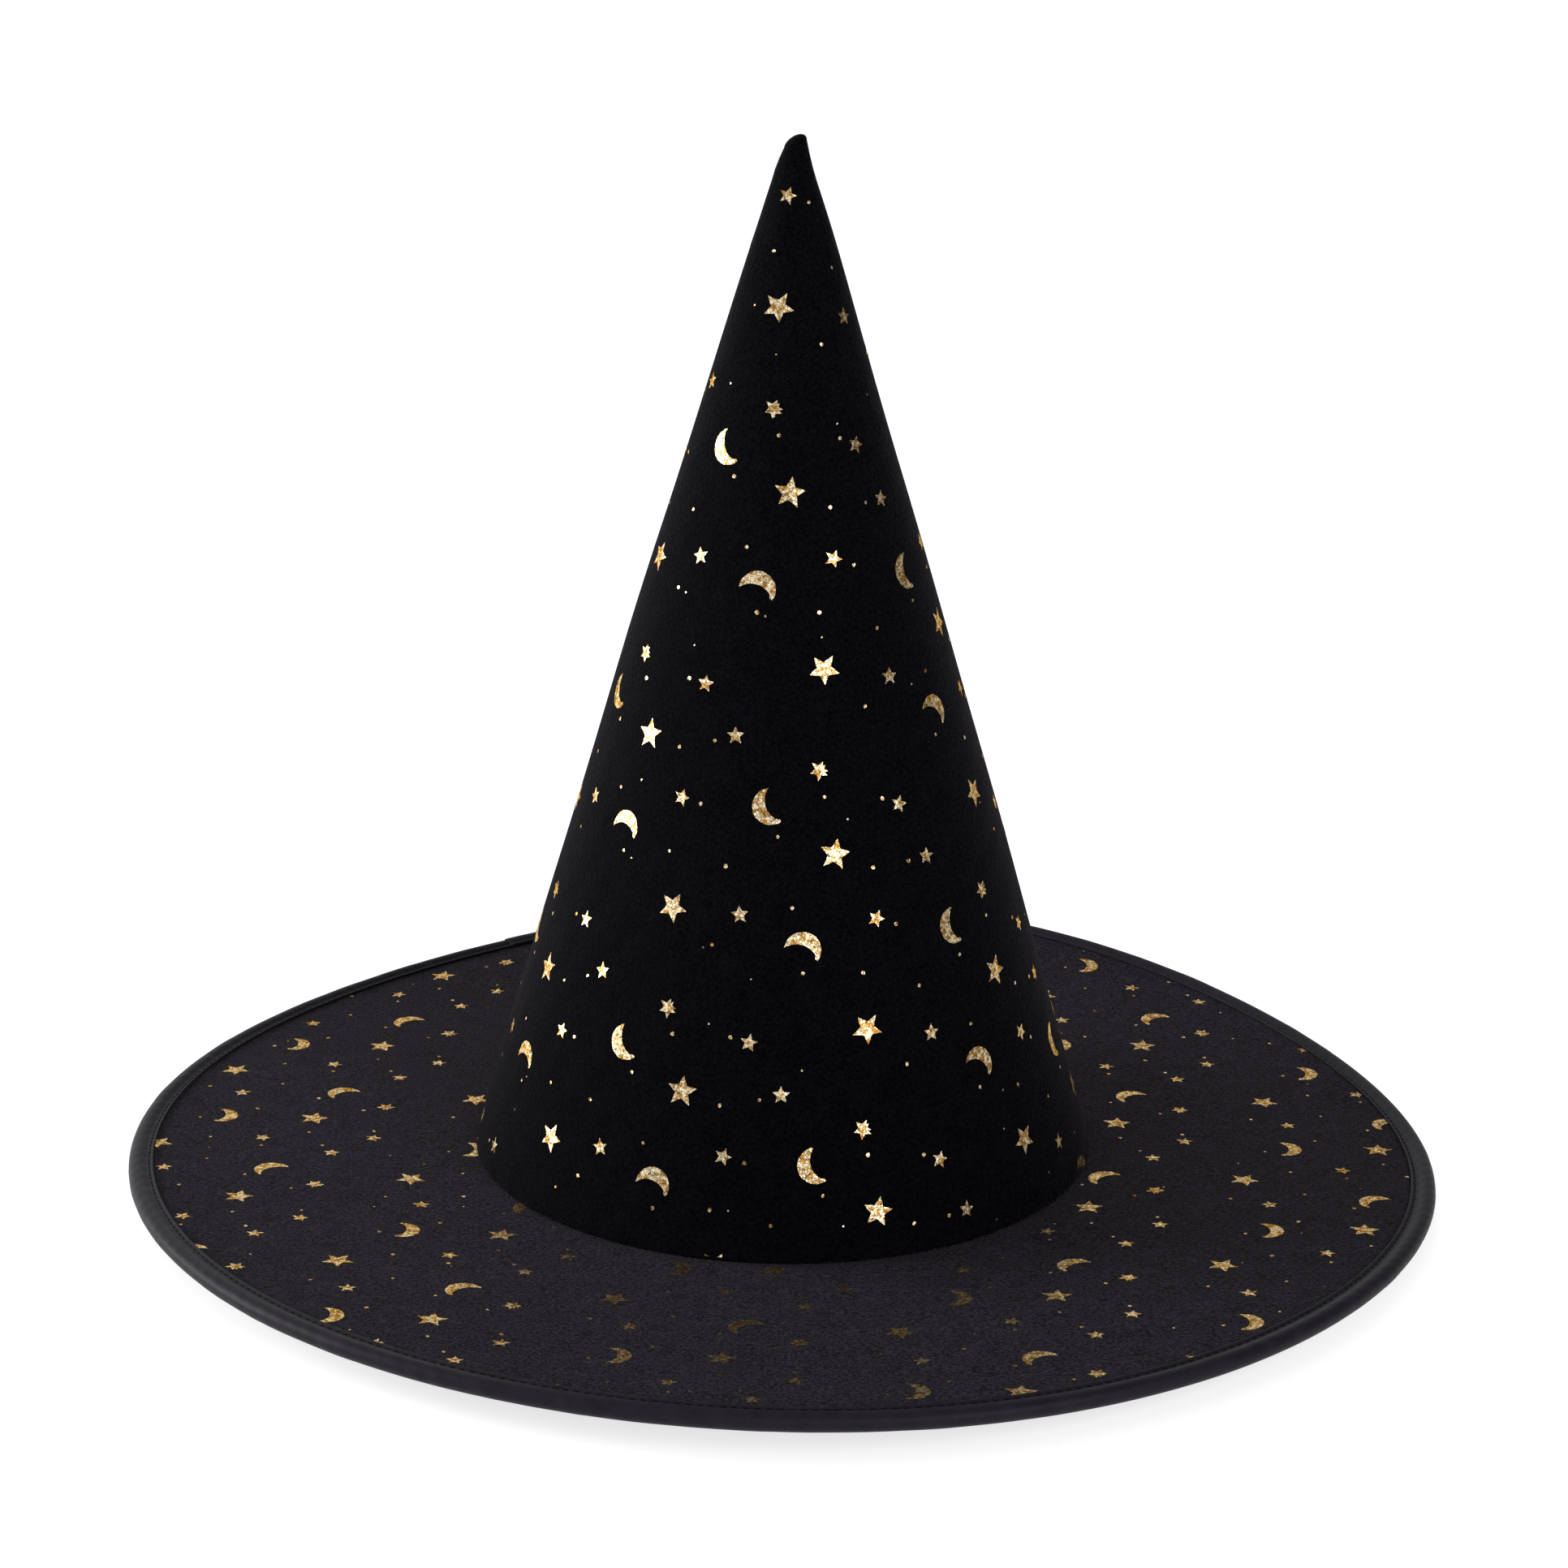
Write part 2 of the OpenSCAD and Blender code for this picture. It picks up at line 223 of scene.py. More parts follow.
def mix_colours(tree, factor, a, b):
    mix = add_node(tree, "ShaderNodeMix", {MIX_FACTOR: factor, MIX_A: a, MIX_B: b}, data_type="RGBA")
    return mix.outputs[MIX_OUT]


def stretch(tree, value, low, high, to_low=0.0, to_high=1.0):
    """Spreads the part of a value between low and high over a new range."""
    numbers = {"Value": value, "From Min": low, "From Max": high, "To Min": to_low, "To Max": to_high}
    return add_node(tree, "ShaderNodeMapRange", numbers, clamp=True).outputs["Result"]


print("material helpers ready")

# %% Velveteen
def velveteen(name, deep, lit, sheen, sheen_roughness, sheen_tint, twill):
    """Cotton velveteen: a short cut pile that hides its twill ground. It gives the eye a deep black with a
    dull bloom, mottled where the pile leans different ways. The pile is drawn 0.9 mm coarse so it shows."""
    material, tree = new_material(name)
    place = add_node(tree, "ShaderNodeTexCoord").outputs["Object"]
    lean = add_node(tree, "ShaderNodeTexNoise", {"Vector": place, "Scale": per_mm(7), "Detail": 4.0,
                                                 "Roughness": 0.6}).outputs["Fac"]
    pile = add_node(tree, "ShaderNodeTexNoise", {"Vector": place, "Scale": per_mm(0.9), "Detail": 2.0,
                                                 "Roughness": 0.7}).outputs["Fac"]
    flat = add_node(tree, "ShaderNodeUVMap", uv_map="cloth").outputs["UV"]
    ground = add_node(tree, "ShaderNodeTexWave", {"Vector": flat, "Scale": per_mm(1.5) / 20,
                                                  "Distortion": 2.5, "Detail": 2.0, "Detail Scale": 2.0},
                      wave_type="BANDS", bands_direction="DIAGONAL").outputs["Fac"]
    blend = add_node(tree, "ShaderNodeMath", {0: stretch(tree, lean, 0.3, 0.7, 0.0, 0.25),
                                              1: stretch(tree, pile, 0.36, 0.64, 0.0, 0.75)},
                     operation="ADD").outputs["Value"]
    colour = mix_colours(tree, blend, srgb(deep), srgb(lit))
    height = add_node(tree, "ShaderNodeMath", {0: pile, 1: stretch(tree, ground, 0.0, 1.0, 0.0, twill)},
                      operation="ADD").outputs["Value"]
    bump = add_node(tree, "ShaderNodeBump", {"Height": height, "Strength": 0.9, "Distance": 0.6 * MM})
    cloth = add_node(tree, "ShaderNodeBsdfPrincipled", {
        "Base Color": colour, "Roughness": stretch(tree, pile, 0.3, 0.7, 0.8, 0.95),
        "Specular IOR Level": 0.02,
        "Sheen Weight": stretch(tree, pile, 0.35, 0.65, 0.35 * sheen, 1.65 * sheen),
        "Sheen Roughness": sheen_roughness, "Sheen Tint": srgb(sheen_tint),
        "Normal": bump.outputs["Normal"]})
    show(tree, cloth.outputs["BSDF"])
    return material


# The crown's pile runs down, so one looks into it from the front and it turns almost black; its base colour,
# darker than the brim's though both are cut from the same cloth, is painted shade
crown_velveteen_painted_shade = velveteen("velveteen_pile_down_painted_shade", "#000000", "#0b0a0f", 0.044, 0.3, "#ecdcf4", 0.3)
# The brim's pile lies flat and is seen at a glancing angle, where it shows its bloom; its base colour, lighter
# than the crown's though both are cut from the same cloth, is painted light
brim_velveteen_painted_light = velveteen("velveteen_pile_flat_painted_light", "#040405", "#242127", 0.029, 0.5, "#e8dcf2", 0.1)
print("velveteen for the crown and for the brim")

# %% Woven tapes and plain cloths
def woven(name, deep, lit, pitch, roughness, sheen, direction="X", gloss=0.25, coarse=6.0):
    """A flat woven cloth or tape whose threads show as fine ribs one pitch apart, in millimetres."""
    material, tree = new_material(name)
    flat = add_node(tree, "ShaderNodeUVMap", uv_map="cloth").outputs["UV"]
    place = add_node(tree, "ShaderNodeTexCoord").outputs["Object"]
    ribs = add_node(tree, "ShaderNodeTexWave", {"Vector": flat, "Scale": per_mm(pitch) / 20,
                                                "Distortion": 0.6, "Detail": 1.0},
                    wave_type="BANDS", bands_direction=direction).outputs["Fac"]
    threads = add_node(tree, "ShaderNodeTexNoise", {"Vector": flat, "Scale": per_mm(pitch * 0.8),
                                                    "Detail": 2.0}).outputs["Fac"]
    cloud = add_node(tree, "ShaderNodeTexNoise", {"Vector": place, "Scale": per_mm(coarse),
                                                  "Detail": 3.0}).outputs["Fac"]
    shade = add_node(tree, "ShaderNodeMath", {0: stretch(tree, cloud, 0.3, 0.7, 0.0, 0.6),
                                              1: stretch(tree, threads, 0.3, 0.7, 0.0, 0.4)},
                     operation="ADD").outputs["Value"]
    height = add_node(tree, "ShaderNodeMath", {0: ribs, 1: threads}, operation="ADD").outputs["Value"]
    bump = add_node(tree, "ShaderNodeBump", {"Height": height, "Strength": 0.4, "Distance": 0.12 * MM})
    cloth = add_node(tree, "ShaderNodeBsdfPrincipled", {
        "Base Color": mix_colours(tree, shade, srgb(deep), srgb(lit)),
        "Roughness": stretch(tree, threads, 0.3, 0.7, roughness, roughness + 0.12),
        "Specular IOR Level": gloss, "Sheen Weight": sheen, "Sheen Roughness": 0.4,
        "Sheen Tint": srgb("#eae8f0"), "Normal": bump.outputs["Normal"]})
    show(tree, cloth.outputs["BSDF"])
    return material


# Bias-cut polyester binding: smooth, with a low satin sheen on its roll
binding_satin = woven("polyester_bias_binding", "#121015", "#1f1c24", 0.5, 0.45, 0.015, "DIAGONAL", 0.08)
# Plain-weave polyester under the brim: even and matt
lining_cloth = woven("plain_weave_polyester", "#111014", "#1c1b20", 0.6, 0.75, 0.08, "X", 0.15)
# Grosgrain sweatband: upright ribs one millimetre apart
grosgrain = woven("grosgrain_ribbon", "#0b0a0d", "#1a191d", 1.0, 0.55, 0.1, "X", 0.3)
# Twisted sewing thread
sewing_thread = woven("polyester_sewing_thread", "#050506", "#0d0d10", 0.4, 0.7, 0.03, "X", 0.08)
# Needled felt board and non-woven interlining have no threads, only matted fibres
felt_board = woven("needled_felt_board", "#6f6c67", "#9c9993", 2.2, 0.9, 0.05, "DIAGONAL", 0.1, 3.0)
stiff_interlining = woven("nonwoven_interlining", "#cfcbbf", "#efece2", 1.6, 0.85, 0.05, "DIAGONAL",
                          0.15, 4.0)
print("woven tapes, lining, thread, felt and interlining")

# %% Gold foil
def gold_foil():
    """Hot-pressed foil on pile: a thin metal skin that cracks where the pile bends, so black shows through
    in fine lines and pinholes, and pale and deep gold lie side by side. The cracks are about 1 mm apart."""
    material, tree = new_material("hot_pressed_gold_foil")
    place = add_node(tree, "ShaderNodeTexCoord").outputs["Object"]
    wander = add_node(tree, "ShaderNodeTexNoise", {"Vector": place, "Scale": per_mm(1.1), "Detail": 3.0,
                                                   "Roughness": 0.7})
    tone = add_node(tree, "ShaderNodeTexNoise", {"Vector": place, "Scale": per_mm(1.4), "Detail": 2.0})
    bent = add_node(tree, "ShaderNodeVectorMath", {0: wander.outputs["Color"], 1: (0.9 * MM,) * 3},
                    operation="MULTIPLY")
    moved = add_node(tree, "ShaderNodeVectorMath", {0: place, 1: bent.outputs["Vector"]}, operation="ADD")
    cells = add_node(tree, "ShaderNodeTexVoronoi",
                     {"Vector": moved.outputs["Vector"], "Scale": per_mm(1.0)},
                     feature="DISTANCE_TO_EDGE").outputs["Distance"]
    whole = stretch(tree, cells, 0.02, 0.1)
    pinholes = stretch(tree, wander.outputs["Fac"], 0.34, 0.42)
    kept = add_node(tree, "ShaderNodeMath", {0: whole, 1: pinholes}, operation="MULTIPLY").outputs["Value"]
    bump = add_node(tree, "ShaderNodeBump", {"Height": wander.outputs["Fac"], "Strength": 0.7,
                                             "Distance": 0.3 * MM})
    gold = mix_colours(tree, stretch(tree, tone.outputs["Fac"], 0.4, 0.6), srgb("#b9863f"), srgb("#fff0c8"))
    metal = add_node(tree, "ShaderNodeBsdfPrincipled", {
        "Base Color": gold, "Metallic": 1.0,
        "Roughness": stretch(tree, wander.outputs["Fac"], 0.3, 0.7, 0.22, 0.4),
        "Specular Tint": srgb("#f0c878"), "Normal": bump.outputs["Normal"]})
    bare = add_node(tree, "ShaderNodeBsdfPrincipled", {
        "Base Color": srgb("#2b1f10"), "Roughness": 0.9, "Specular IOR Level": 0.1})
    mixed = add_node(tree, "ShaderNodeMixShader", {"Fac": stretch(tree, kept, 0.0, 1.0, 0.15, 1.0),
                                                   1: bare.outputs["BSDF"], 2: metal.outputs["BSDF"]})
    show(tree, mixed.outputs["Shader"])
    return material


foil = gold_foil()
print("gold foil")

# %% Steel wire and its ferrule
def drawn_steel(name, low, high):
    """Cold-drawn steel keeps fine scratches along its length and a soft, bright grey shine."""
    material, tree = new_material(name)
    place = add_node(tree, "ShaderNodeTexCoord").outputs["Object"]
    marks = add_node(tree, "ShaderNodeTexNoise", {"Vector": place, "Scale": per_mm(1.2),
                                                  "Detail": 4.0}).outputs["Fac"]
    bump = add_node(tree, "ShaderNodeBump", {"Height": marks, "Strength": 0.2, "Distance": 0.03 * MM})
    metal = add_node(tree, "ShaderNodeBsdfPrincipled", {
        "Base Color": mix_colours(tree, stretch(tree, marks, 0.35, 0.65), srgb(low), srgb(high)),
        "Metallic": 1.0, "Roughness": stretch(tree, marks, 0.3, 0.7, 0.28, 0.42),
        "Normal": bump.outputs["Normal"]})
    show(tree, metal.outputs["BSDF"])
    return material


for node, material in (("brim_wire", drawn_steel("drawn_steel_wire", "#9a9da1", "#b9bcc0")),
                       ("wire_ferrule", drawn_steel("crimped_steel_sleeve", "#a3a6ab", "#c4c7cb"))):
    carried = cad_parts[node]
    carried.data.materials.clear()
    carried.data.materials.append(material)
print("steel on the wire and the ferrule")

# %% [markdown]
# ## Making pieces
# Each piece starts as a few points or a bmesh shape, is spun or subdivided, and is then laid on the brim or
# the crown by one function, as real cloth is cut flat and then shaped. Cloth is modelled as its outer face,
# and a Solidify modifier gives it its thickness.

# %% Helpers for pieces
def turn(profile, steps, angle=2 * math.pi, start=0.0):
    """Spins a line of (radius, height) points round Z, the whole way or by an angle from start."""
    bm = bmesh.new()
    verts = [bm.verts.new((r, 0.0, v)) for r, v in profile]
    edges = [bm.edges.new(pair) for pair in zip(verts, verts[1:])]
    bmesh.ops.rotate(bm, verts=verts, cent=(0, 0, 0), matrix=Matrix.Rotation(start, 3, "Z"))
    full = abs(angle - 2 * math.pi) < 1e-6
    bmesh.ops.spin(bm, geom=verts + edges, cent=(0, 0, 0), axis=(0, 0, 1), angle=angle, steps=steps,
                   use_merge=full)
    bmesh.ops.remove_doubles(bm, verts=bm.verts, dist=1e-4)
    return bm


def up(centre):
    return Vector((0, 0, 1))


def down(centre):
    return Vector((0, 0, -1))


def away(centre):
    return Vector((centre.x, centre.y, 0))


def from_roll(centre):
    return centre - away(centre).normalized() * (BRIM_R - 4)


def face_towards(bm, direction):
    """Turns all faces to the same side, the one that direction gives for each face's middle."""
    bmesh.ops.recalc_face_normals(bm, faces=bm.faces)
    if sum(f.normal.dot(direction(f.calc_center_median())) * f.calc_area() for f in bm.faces) < 0:
        bmesh.ops.reverse_faces(bm, faces=bm.faces)


def flatten(bm, layout, seam=0.0):
    """Writes the cloth's flat layout, in metres, as the UV map cloth. layout takes (radius, angle, height)
    and the angle is counted from the seam, so no face is stretched over it."""
    layer = bm.loops.layers.uv.new("cloth")
    for face in bm.faces:
        corners = [(math.hypot(*loop.vert.co.xy),
                    (math.atan2(loop.vert.co.y, loop.vert.co.x) - seam) % (2 * math.pi),
                    loop.vert.co.z) for loop in face.loops]
        wraps = max(c[1] for c in corners) - min(c[1] for c in corners) > math.pi
        for loop, (r, a, z) in zip(face.loops, corners):
            turned = a - 2 * math.pi if wraps and a > math.pi else a
            u, v = layout(r, turned, z)
            loop[layer].uv = (u * MM, v * MM)


def move_all(bm, place):
    """Moves every point from its flat place (x, y, height) to place(x, y, height)."""
    for vert in bm.verts:
        vert.co = place(*vert.co)


def piece_from(bm, name, material, nodes=(), thickness=0.0):
    """Stores the shape in metres with its material and thickness, hangs it on the root body, and hides the
    model's parts that it replaces.
    """
    bmesh.ops.scale(bm, vec=(MM, MM, MM), verts=bm.verts)
    mesh = bpy.data.meshes.new(name)
    for face in bm.faces:
        face.smooth = True
    bm.to_mesh(mesh)
    bm.free()
    mesh.materials.append(material)
    piece = bpy.data.objects.new(name, mesh)
    bpy.context.collection.objects.link(piece)
    if thickness:
        wall = piece.modifiers.new("cloth thickness", "SOLIDIFY")
        wall.thickness = thickness * MM
        wall.offset = -1
        wall.use_even_offset = True
    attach(piece, "root")
    if nodes:
        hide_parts(*nodes)
    print(f"{name}: {len(mesh.polygons)} faces, {len(mesh.vertices)} points")
    return piece


def to_crown(x, y, z):
    return crown_place(math.hypot(x, y), math.atan2(y, x), z)


# %% [markdown]
# ## The brim's cloths and board
# The brim is flat cloth pulled over a board, so each ply is a ring spun from a straight line and then laid on
# the waved surface. Many rings of points let it follow the waves without corners.

# %% Brim plies
RING_STEPS = 288


def ply_profile(r0, r1, v, rings=34):
    return [(r0 + (r1 - r0) * k / rings, v) for k in range(rings + 1)]


def flat_layout(r, a, z):
    return r * math.cos(a), r * math.sin(a)


def brim_ply(name, v, side, thickness, material, node):
    """One ply as its outer face, v above the middle of the brim, with its thickness behind it."""
    bm = turn(ply_profile(BRIM_HOLE_R, STACK_R, v), RING_STEPS)
    face_towards(bm, side)
    flatten(bm, flat_layout)
    move_all(bm, brim_place)
    piece = piece_from(bm, name, material, (node,), thickness)


brim_ply("brim_cloth", BRIM_HALF_T, up, 0.95, brim_velveteen_painted_light, "brim_top_velvet")
brim_ply("brim_board", BOARD_TOP, up, 1.15, felt_board, "brim_stiffener")
brim_ply("brim_underside", -BRIM_HALF_T, down, 0.55, lining_cloth, "brim_under_cover")

# %% [markdown]
# ## The bound edge
# The tape is folded over the edge and over a wire, so its outer part is a firm round roll, with a groove
# where the stitches pull it down and a narrow free lip beside them. One line through the tape, spun round the
# hat, gives all of that, and small puckers keep it from looking like moulded plastic.

# %% Binding profile
ROLL_R = BRIM_R - 2.85
ROLL_HALF_W = 2.85
ROLL_HALF_H = 2.75
ROLL_ARCS = 11
ROLL_START = math.radians(142)
STITCH_PITCH = 3.0
STITCH_PULL = 0.03
# Flat width of the tape: a free lip, a groove and half the roll above the edge, and the same below
TAPE_T = 0.3
# From inside out, where the stitches stop pulling and where the roll's own gathers start and are full
PULL_IN_R = BRIM_R - 6.4
PULL_OUT_R = BRIM_R - 5.6
GATHER_START_R = BRIM_R - 5.4
GATHER_FULL_R = BRIM_R - 3.6


def binding_side(grow):
    """The tape's outer line from its free lip, over the groove, to the middle of the edge."""
    lip = [(BRIM_R - 7.35, 1.62), (BRIM_R - 7.42, 1.95 + grow), (BRIM_R - 7.2, 2.3 + grow),
           (BRIM_R - 6.9, 2.34 + grow), (BRIM_R - 6.6, 2.1 + grow), (BRIM_R - 6.35, 1.86 + grow),
           (BRIM_R - 6.05, 1.83 + grow), (BRIM_R - 5.65, 1.84 + grow)]
    roll = [(ROLL_R + (ROLL_HALF_W + grow) * math.cos(ROLL_START * (1 - k / ROLL_ARCS)),
             (ROLL_HALF_H + grow) * math.sin(ROLL_START * (1 - k / ROLL_ARCS)))
            for k in range(ROLL_ARCS + 1)]
    return lip + [(r, max(v, 1.86 + grow) if r < ROLL_R - 1 else v) for r, v in roll]


def binding_profile(grow=0.0):
    top = binding_side(grow)
    return top + [(r, -v) for r, v in reversed(top[:-1])]


def pucker(x, y, v):
    """Tiny gathers of a tape sewn round a curve, on the roll and on the lip, none on the groove."""
    a = math.atan2(y, x)
    r = math.hypot(x, y)
    along = a * BRIM_R
    wave = 0.16 * noise.noise(Vector((math.cos(a) * 12, math.sin(a) * 12, v * 0.1)))
    fine = 0.025 * noise.noise(Vector((math.cos(a) * 50, math.sin(a) * 50, v * 0.3)))
    pull = STITCH_PULL * math.cos(along * 2 * math.pi / STITCH_PITCH) * smoothstep(PULL_OUT_R, PULL_IN_R, r)
    grown = (wave + fine) * smoothstep(GATHER_START_R, GATHER_FULL_R, r)
    factor = 1 + grown / BRIM_R
    return brim_place(x * factor, y * factor, v + math.copysign(grown + pull, v))


def tape_layout(r, a, z):
    return a * BRIM_R, (BRIM_R - r) * math.copysign(1, z)


TAPE_STEPS = 720
bm = turn(binding_profile(), TAPE_STEPS)
face_towards(bm, from_roll)
flatten(bm, tape_layout, seam=LAP_ANGLE)
move_all(bm, pucker)
binding = piece_from(bm, "edge_tape", binding_satin, ("edge_binding",), TAPE_T)

# %% [markdown]
# The tape's end is turned under and laps over its start, at the left of the back. It is a short second layer
# that stands a tape's thickness proud, with rounded folded ends.

# %% Binding lap
LAP_L = 14.0
LAP_T = 0.32
LAP_STEPS = 14
# How far the lap stands out from the tape below, and how far its ends are drawn back down
LAP_LIFT = 0.42
LAP_SETTLE = 0.18


def lap_place(x, y, v):
    """Draws the two folded ends of the lap down onto the tape below."""
    away_from_end = LAP_L / 2 - abs(math.remainder(math.atan2(y, x) - LAP_ANGLE, 2 * math.pi)) * BRIM_R
    settle = 1 - LAP_SETTLE * (1 - smoothstep(0.0, 1.0, away_from_end)) / BRIM_R
    return pucker(x * settle, y * settle, v)


half_lap = LAP_L / 2 / BRIM_R
bm = turn(binding_profile(LAP_LIFT), LAP_STEPS, 2 * half_lap, LAP_ANGLE - half_lap)
face_towards(bm, from_roll)
flatten(bm, tape_layout, seam=LAP_ANGLE - math.pi)
move_all(bm, lap_place)
lap = piece_from(bm, "edge_tape_lap", binding_satin, ("binding_lap",), LAP_T)

# %% [markdown]
# ## Stitches
# A row of stitches is one small rounded bar, made once and copied round the hat by a spin that duplicates.
# There are hundreds, so each has only two dozen faces.

# %% Stitch rows
THREAD_D = 0.42


def stitch_shape(length, thickness):
    bm = bmesh.new()
    bmesh.ops.create_uvsphere(bm, u_segments=6, v_segments=4, radius=0.5)
    bmesh.ops.scale(bm, vec=(thickness, length, thickness), verts=bm.verts)
    return bm


def stitch_ring(r, v, pitch=STITCH_PITCH, gap_fraction=0.22, skip_angle=0.0, start=0.0):
    """Stitches a pitch apart round a circle, leaving out an angle centred on start."""
    count = int((2 * math.pi - skip_angle) * r / pitch)
    bm = stitch_shape(pitch * (1 - gap_fraction), THREAD_D)
    bmesh.ops.translate(bm, vec=(r, 0, v), verts=bm.verts)
    first = start + skip_angle / 2 + pitch / 2 / r
    bmesh.ops.rotate(bm, verts=bm.verts, cent=(0, 0, 0), matrix=Matrix.Rotation(first, 3, "Z"))
    whole = list(bm.verts) + list(bm.edges) + list(bm.faces)
    span = (2 * math.pi - skip_angle) * (count - 1) / count
    bmesh.ops.spin(bm, geom=whole, cent=(0, 0, 0), axis=(0, 0, 1), angle=span, steps=count - 1,
                   use_duplicate=True)
    flatten(bm, lambda r, a, z: (a * BRIM_R, z))
    return bm


for name, side, node in (("edge_stitches_top", 1, "binding_topstitch"),
                         ("edge_stitches_under", -1, "binding_understitch")):
    bm = stitch_ring(STITCH_R + 0.3, side * 1.93)
    move_all(bm, brim_place)
    piece_from(bm, name, sewing_thread, (node,))

bm = stitch_ring(CROWN_R - 0.7, THREAD_D / 2 + 0.02, pitch=4.0)
move_all(bm, to_crown)
piece_from(bm, "crown_foot_stitches", sewing_thread, ("brim_seam_thread",))

# %% [markdown]
# ## The crown
# The cone is one sector of cloth closed by a seam at the back. It is spun from its side line with a rounded
# point, its columns of points are drawn together at the seam, and the seam is pressed in as a narrow groove
# with a soft ridge on each side, where the turned edges lie underneath.

# %% Crown cloth
SIDE_STEPS = 84
SIDE_FOOT = 2.2
CAP_STEPS = 6
SLANT_HALF = math.atan(CROWN_SLOPE)
APEX_H = CROWN_R / CROWN_SLOPE


def crown_profile():
    """From the rolled lower edge up the side and over the rounded point to the axis."""
    shoulder = CROWN_H - TIP_R
    foot = [(CROWN_R - 0.75, 0.16), (CROWN_R - 0.2, 0.22), (crown_r(0.9) + 0.05, 0.9)]
    side = [(crown_r(z), z) for z in (SIDE_FOOT + (shoulder - SIDE_FOOT) * k / SIDE_STEPS
                                      for k in range(SIDE_STEPS + 1))]
    cap = [(crown_r(shoulder) * math.cos(a), shoulder + TIP_R * math.sin(a))
           for a in (math.pi / 2 * k / CAP_STEPS for k in range(1, CAP_STEPS + 1))]
    return foot + side + cap[:-1] + [(0.0, CROWN_H)]


def draw_to_seam(x, y, z):
    """Draws columns of points together at the back seam, where the groove needs them."""
    r = math.hypot(x, y)
    a = math.atan2(y, x)
    close = a - 0.62 * math.sin(a - BACK_SEAM)
    return Vector((r * math.cos(close), r * math.sin(close), z))


def crown_layout(r, a, z):
    """The cone opened out flat: its point at the origin and its front line along +V."""
    slant = (APEX_H - z) / math.cos(SLANT_HALF)
    spread = (a - math.pi) * math.sin(SLANT_HALF)
    return slant * math.sin(spread), slant * math.cos(spread)


def seam_relief(x, y, z):
    r = math.hypot(x, y)
    a = math.atan2(y, x)
    off = abs(math.remainder(a - BACK_SEAM, 2 * math.pi)) * r
    fade = smoothstep(CROWN_H - 4, CROWN_H - 20, z)
    groove = -0.7 * math.exp(-(off / 0.7) ** 2)
    ridge = 0.22 * math.exp(-((off - 3.0) / 2.2) ** 2) - 0.1 * math.exp(-((off - 10.5) / 1.2) ** 2)
    return crown_place(r + fade * (groove + ridge), a, z)


bm = turn(crown_profile(), RING_STEPS)
move_all(bm, draw_to_seam)
face_towards(bm, away)
flatten(bm, crown_layout, seam=BACK_SEAM)
move_all(bm, seam_relief)
crown = piece_from(bm, "crown_cloth", crown_velveteen_painted_shade, ("crown_velvet",), 0.95)

# %% [markdown]
# ## Inside the crown
# A hat is looked into as often as it is looked at. Inside are the stiff interlining, the two turned edges of
# the back seam with its stitches between them, a wad of cloth in the point, the clipped tabs of the brim
# cloth, and the ribbed sweatband that covers them.

# %% Interlining, seam edges and seam stitches
LINING_FOOT = 0.7
LINING_TOP = crown_z(TIP_R, LINING_BACK_DEPTH)
LINING_ROWS = 60
lining_heights = [LINING_FOOT + (LINING_TOP - LINING_FOOT) * k / LINING_ROWS for k in range(LINING_ROWS + 1)]
bm = turn([(crown_r(z, LINING_DEPTH), z) for z in lining_heights], RING_STEPS // 2)
face_towards(bm, away)
flatten(bm, crown_layout, seam=BACK_SEAM)
move_all(bm, to_crown)
lining = piece_from(bm, "crown_stiffening", stiff_interlining, ("crown_interlining",), 0.75)

ALLOWANCE_W = 10.0
ALLOWANCE_FOOT = BAND_H + 0.3
ALLOWANCE_TOP = crown_z(ALLOWANCE_W, FOLD_BACK_DEPTH)
bm = bmesh.new()
bmesh.ops.create_grid(bm, x_segments=5, y_segments=70, size=0.5)
layer = bm.loops.layers.uv.new("cloth")
for face in bm.faces:
    for loop in face.loops:
        loop[layer].uv = (loop.vert.co.x * ALLOWANCE_W * MM, loop.vert.co.y * 250 * MM)
other = bmesh.ops.duplicate(bm, geom=list(bm.verts) + list(bm.edges) + list(bm.faces))
copies = {element for element in other["geom"] if isinstance(element, bmesh.types.BMVert)}
for vert in bm.verts:
    side = -1 if vert in copies else 1
    z = ALLOWANCE_FOOT + (ALLOWANCE_TOP - ALLOWANCE_FOOT) * (vert.co.y + 0.5)
    curl = 0.5 * noise.noise(Vector((side * 5.0, z / 12, 0.0))) * (vert.co.x + 0.5)
    x = side * (0.6 + (ALLOWANCE_W + curl) * (vert.co.x + 0.5))
    r = crown_r(z, FOLD_DEPTH)
    vert.co = crown_place(r, BACK_SEAM - math.asin(x / r), z)
face_towards(bm, away)
edges_inside = piece_from(bm, "back_seam_edges", crown_velveteen_painted_shade,
                          ("crown_seam_allowances",), 0.9)

bm = bmesh.new()
SEAM_PITCH = 4.0
SEAM_STITCH_L = 2.8
seam_count = int((ALLOWANCE_TOP - ALLOWANCE_FOOT) / SEAM_PITCH)
for k in range(seam_count):
    z = ALLOWANCE_FOOT + SEAM_PITCH * (k + 0.5)
    lean = Matrix.Rotation(SLANT_HALF, 4, "X")
    seat = Matrix.Translation(crown_place(crown_r(z, FOLD_DEPTH + 0.25), BACK_SEAM, z))
    bmesh.ops.create_uvsphere(bm, u_segments=6, v_segments=4, radius=0.5,
                              matrix=seat @ lean @ Matrix.Diagonal((THREAD_D, THREAD_D, SEAM_STITCH_L, 1)))
bm.loops.layers.uv.new("cloth")
piece_from(bm, "back_seam_stitches", sewing_thread, ("crown_seam_stitches",))

